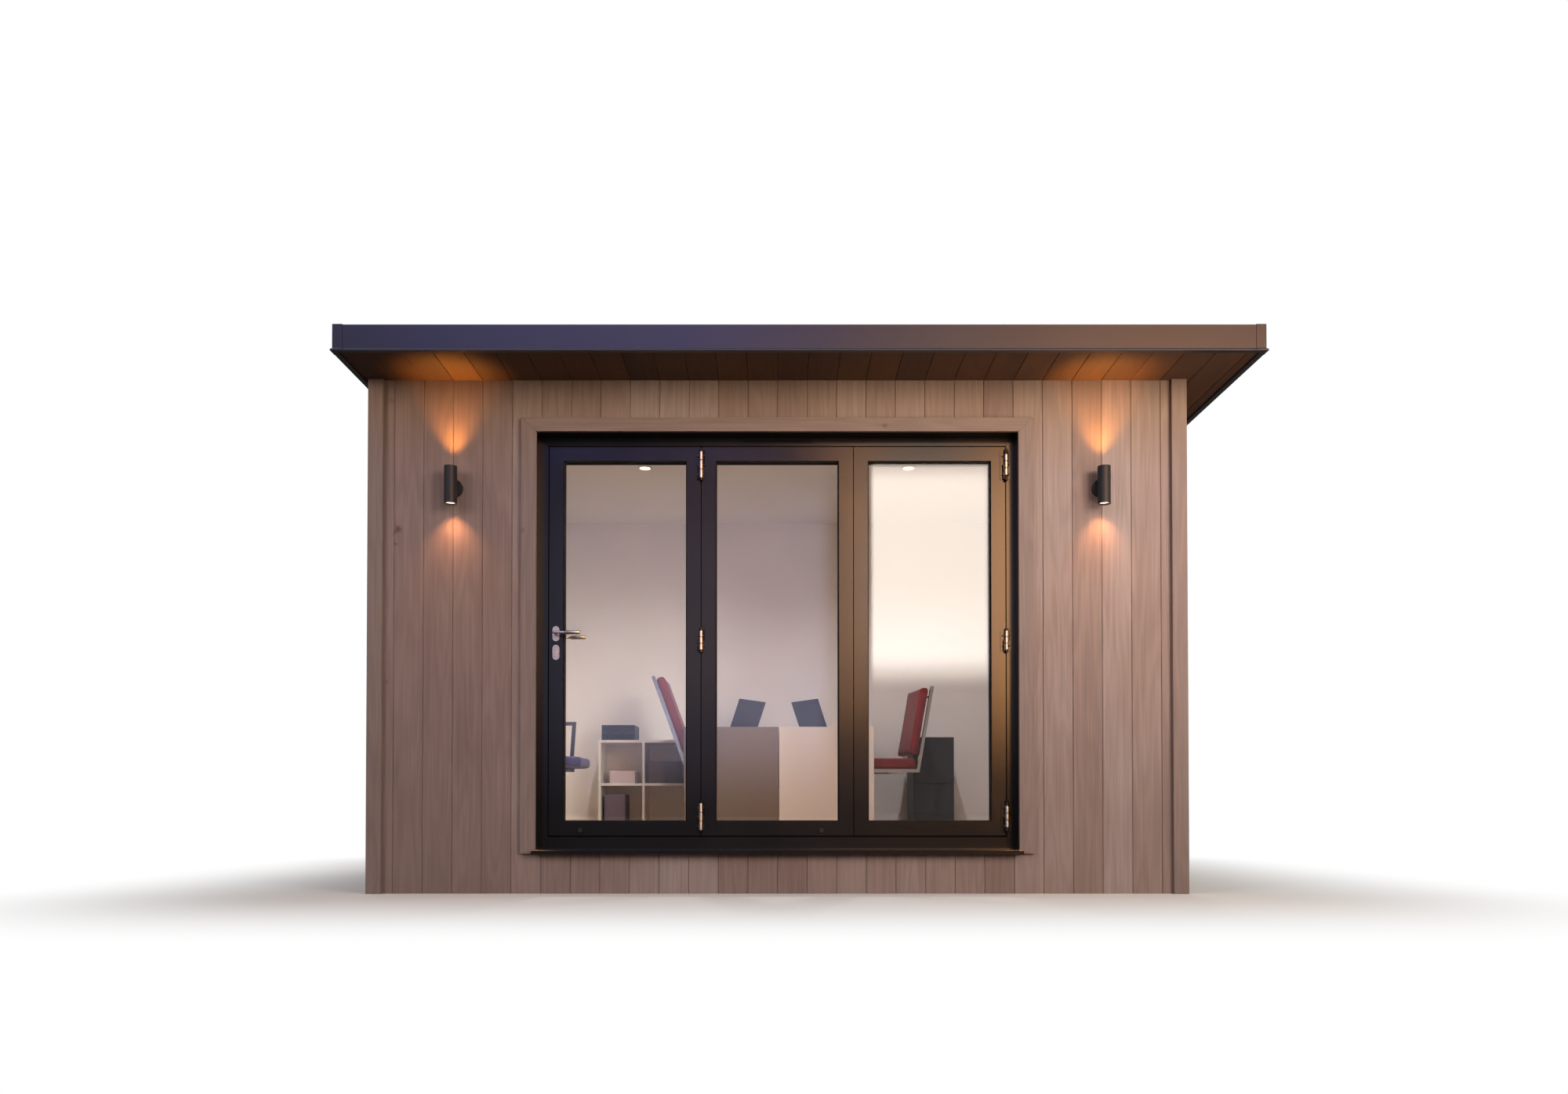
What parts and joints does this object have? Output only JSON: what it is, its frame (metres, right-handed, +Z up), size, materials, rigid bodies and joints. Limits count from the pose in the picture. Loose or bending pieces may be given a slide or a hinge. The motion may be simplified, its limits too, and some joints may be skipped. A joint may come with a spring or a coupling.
{
  "type": "garden office pod",
  "caption": "An insulated garden office pod clad in weathered boards, with a flat roof, an anthracite edge trim, a three-leaf bi-fold door, wall lights and two desks inside.",
  "frame": {"origin": "on the ground at the middle of the walls' plan", "axes": "+X to the right of someone facing the door, +Y to the rear, +Z up"},
  "size_m": [4.352, 3.52, 2.672],
  "materials": {
    "concrete": "matte",
    "panel_timber": "matte",
    "floor_boards": "satin",
    "painted_lining": "matte",
    "roof_rubber": "matte",
    "edge_metal": "satin",
    "soffit_boards": "matte",
    "wall_boards": "matte",
    "trim_boards": "matte",
    "frame_metal": "satin",
    "pane_glass": "gloss",
    "seal_rubber": "matte",
    "satin_metal": "satin",
    "lamp_metal": "satin",
    "lamp_lens": "gloss",
    "lamp_rim": "satin",
    "rainwater_plastic": "satin",
    "white_board": "satin",
    "laptop_shell": "satin",
    "chrome_bar": "gloss",
    "red_upholstery": "matte",
    "dark_plastic": "matte",
    "blue_upholstery": "matte",
    "grey_card": "matte",
    "cabinet_metal": "satin"
  },
  "bodies": {
    "root": {"base_slab": "concrete", "floor_cassette": "panel_timber", "floor_finish": "floor_boards", "wall_left": "panel_timber", "wall_right": "panel_timber", "wall_rear": "panel_timber", "front_wall_piers": "panel_timber", "front_wall_header": "panel_timber", "front_wall_sill": "panel_timber", "room_lining": "painted_lining", "skirting": "painted_lining", "roof_deck": "panel_timber", "roof_membrane": "roof_rubber", "fascia_front": "edge_metal", "fascia_sides": "edge_metal", "fascia_rear": "edge_metal", "fascia_corner_caps": "edge_metal", "soffit_eaves": "soffit_boards", "soffit_verges": "soffit_boards", "cladding_beside_door": "wall_boards", "cladding_over_door": "wall_boards", "cladding_under_door": "wall_boards", "cladding_left": "wall_boards", "cladding_right": "wall_boards", "cladding_rear": "wall_boards", "corner_trims": "trim_boards", "door_trim_sides": "trim_boards", "door_trim_head": "trim_boards", "door_reveal": "frame_metal", "door_frame_head": "frame_metal", "door_frame_jambs": "frame_metal", "door_threshold": "frame_metal", "door_cill": "frame_metal", "door_leaf_1": "frame_metal", "door_leaf_2": "frame_metal", "door_leaf_3": "frame_metal", "door_glass": "pane_glass", "door_seals": "seal_rubber", "hinge_plates": "frame_metal", "hinge_knuckles": "satin_metal", "door_furniture": "satin_metal", "wall_lights": "lamp_metal", "light_lenses": "lamp_lens", "downlights": "lamp_rim", "rain_gutter": "rainwater_plastic", "downpipe": "rainwater_plastic", "desks": "white_board", "laptops": "laptop_shell", "chair_frames": "chrome_bar", "chair_cushions": "red_upholstery", "swivel_chair_base": "dark_plastic", "swivel_chair_pads": "blue_upholstery", "cube_shelf": "white_board", "shelf_boxes": "grey_card", "drawer_cabinet": "cabinet_metal"}
  },
  "joints": []
}
